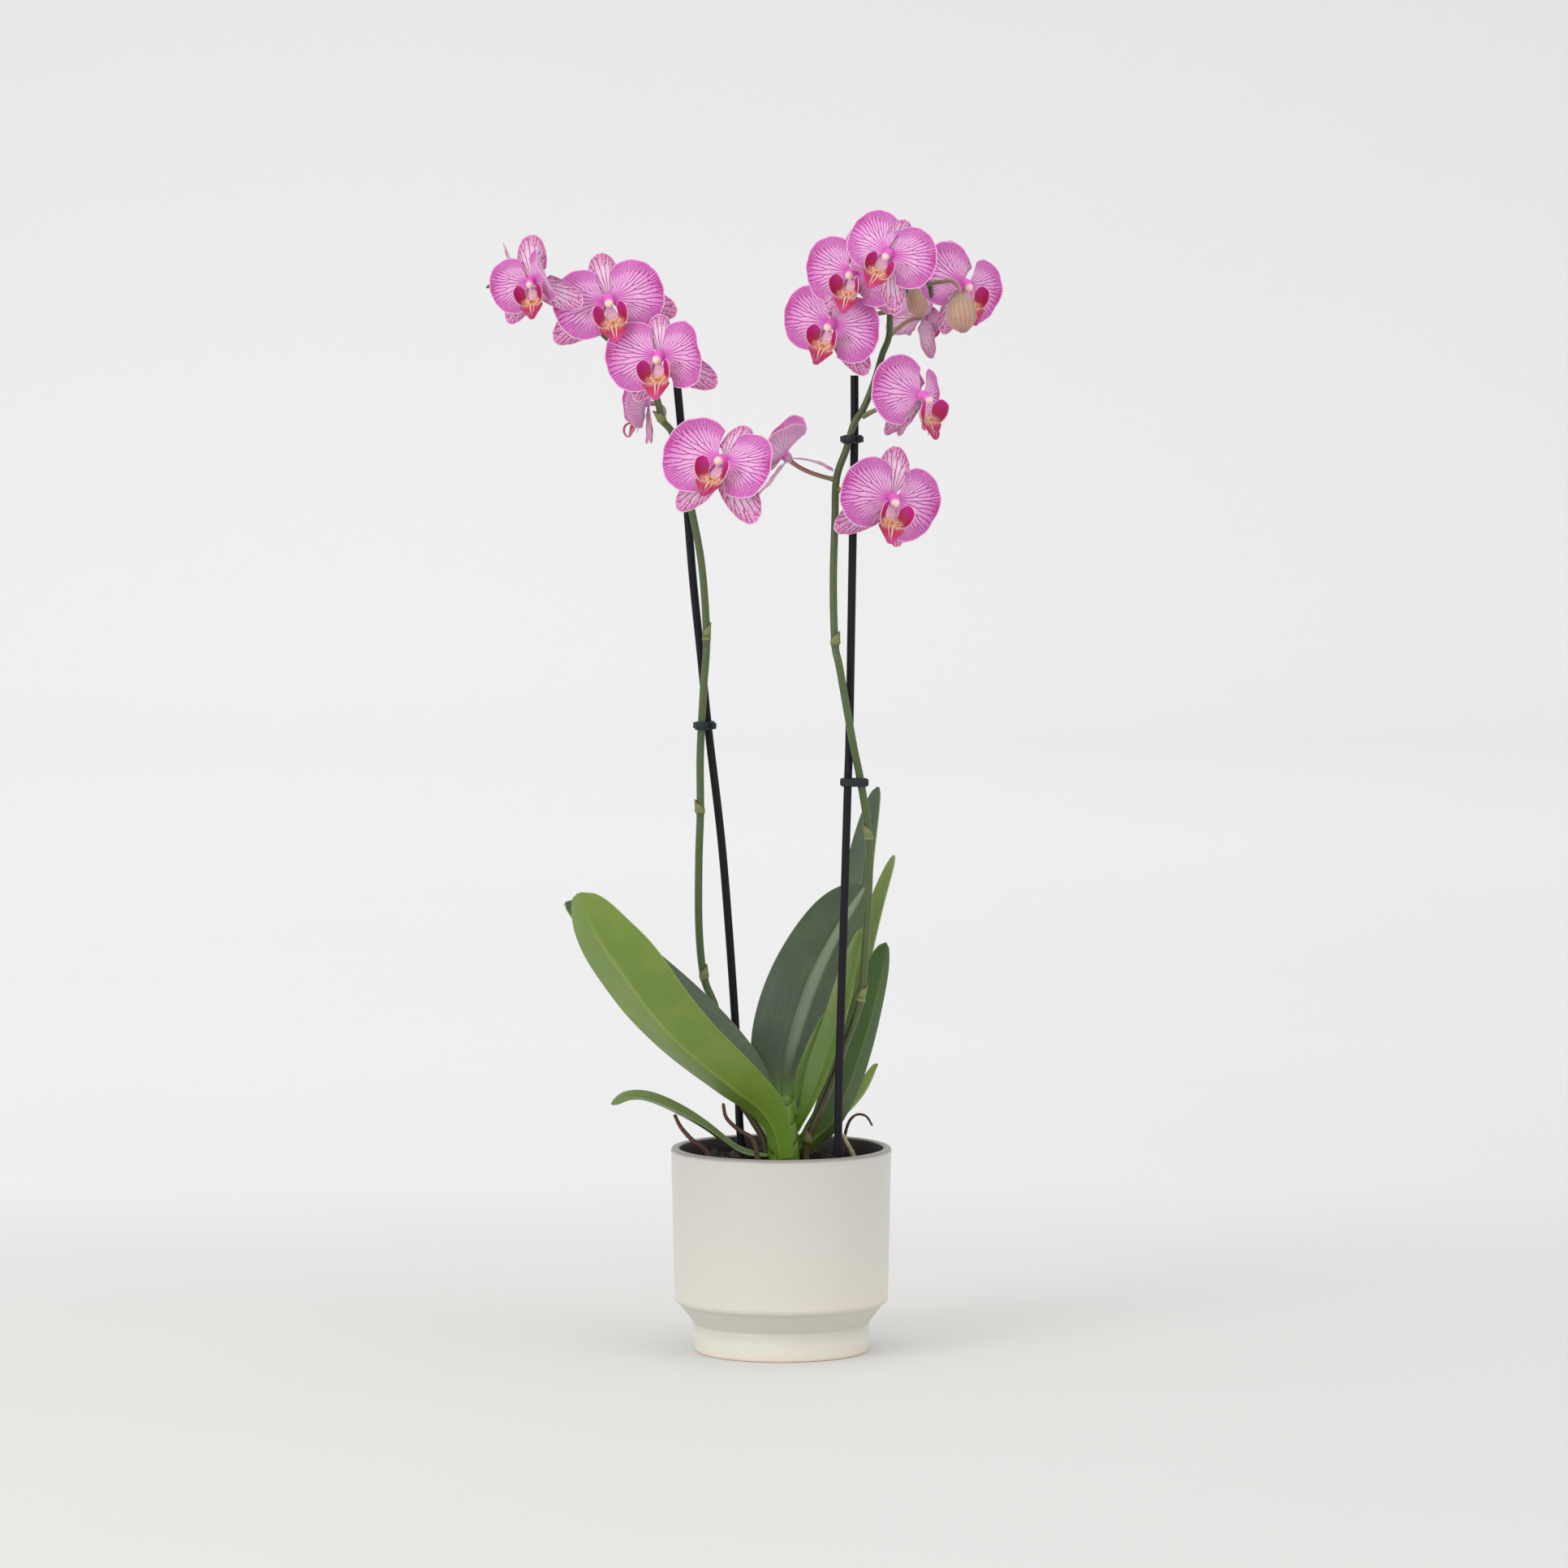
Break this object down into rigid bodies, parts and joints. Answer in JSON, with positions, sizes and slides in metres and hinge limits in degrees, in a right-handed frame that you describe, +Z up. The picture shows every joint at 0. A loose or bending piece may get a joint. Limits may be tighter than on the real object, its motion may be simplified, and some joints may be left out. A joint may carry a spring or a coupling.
{
  "type": "potted orchid",
  "caption": "Potted moth orchid with staked flower spikes, strap leaves, bark and a round glazed pot; stands on a flat base as decoration.",
  "frame": {"origin": "centre of the pot's flat underside, on the surface that it stands on", "axes": "+Z up along the pot's axis; the blooms and the plant's front face -Y; +X to the viewer's right"},
  "size_m": [0.3179, 0.1706, 0.7059],
  "materials": {
    "glaze": null,
    "nursery_plastic": "thin dark moulded plastic",
    "bark": "dark damp bark chips",
    "leaf": "waxy green leaf",
    "root": "dry brown air root",
    "stem": "satin green stem",
    "stake": "near-black painted cane",
    "clip": "dark green-grey moulded plastic",
    "petal": "velvety pink-lilac petal with purple veins",
    "lip": "velvety deep magenta lip",
    "bud": "tan-pink closed bud"
  },
  "bodies": {
    "root": {"pot": "glaze", "nursery_pot": "nursery_plastic", "bark": "bark", "crown": "leaf", "bloom_l1_lip": "lip", "bloom_l1_petals": "petal", "bloom_l2_lip": "lip", "bloom_l2_petals": "petal", "bloom_l3_lip": "lip", "bloom_l3_petals": "petal", "bloom_l4_lip": "lip", "bloom_l4_petals": "petal", "bloom_l5_lip": "lip", "bloom_l5_petals": "petal", "bloom_l6_lip": "lip", "bloom_l6_petals": "petal", "bloom_r1_lip": "lip", "bloom_r1_petals": "petal", "bloom_r2_lip": "lip", "bloom_r2_petals": "petal", "bloom_r3_lip": "lip", "bloom_r3_petals": "petal", "bloom_r4_lip": "lip", "bloom_r4_petals": "petal", "bloom_r5_lip": "lip", "bloom_r5_petals": "petal", "bloom_r6_lip": "lip", "bloom_r6_petals": "petal", "bloom_r7_lip": "lip", "bloom_r7_petals": "petal", "bloom_r8_lip": "lip", "bloom_r8_petals": "petal", "bud_1": "bud", "bud_2": "bud", "clip_left": "clip", "clip_right_high": "clip", "clip_right_low": "clip", "leaf_1": "leaf", "leaf_10": "leaf", "leaf_2": "leaf", "leaf_3": "leaf", "leaf_4": "leaf", "leaf_5": "leaf", "leaf_6": "leaf", "leaf_7": "leaf", "leaf_8": "leaf", "leaf_9": "leaf", "root_1": "root", "root_2": "root", "root_3": "root", "root_4": "root", "spike_left": "stem", "spike_right": "stem", "stake_left": "stake", "stake_right": "stake"}
  },
  "joints": []
}
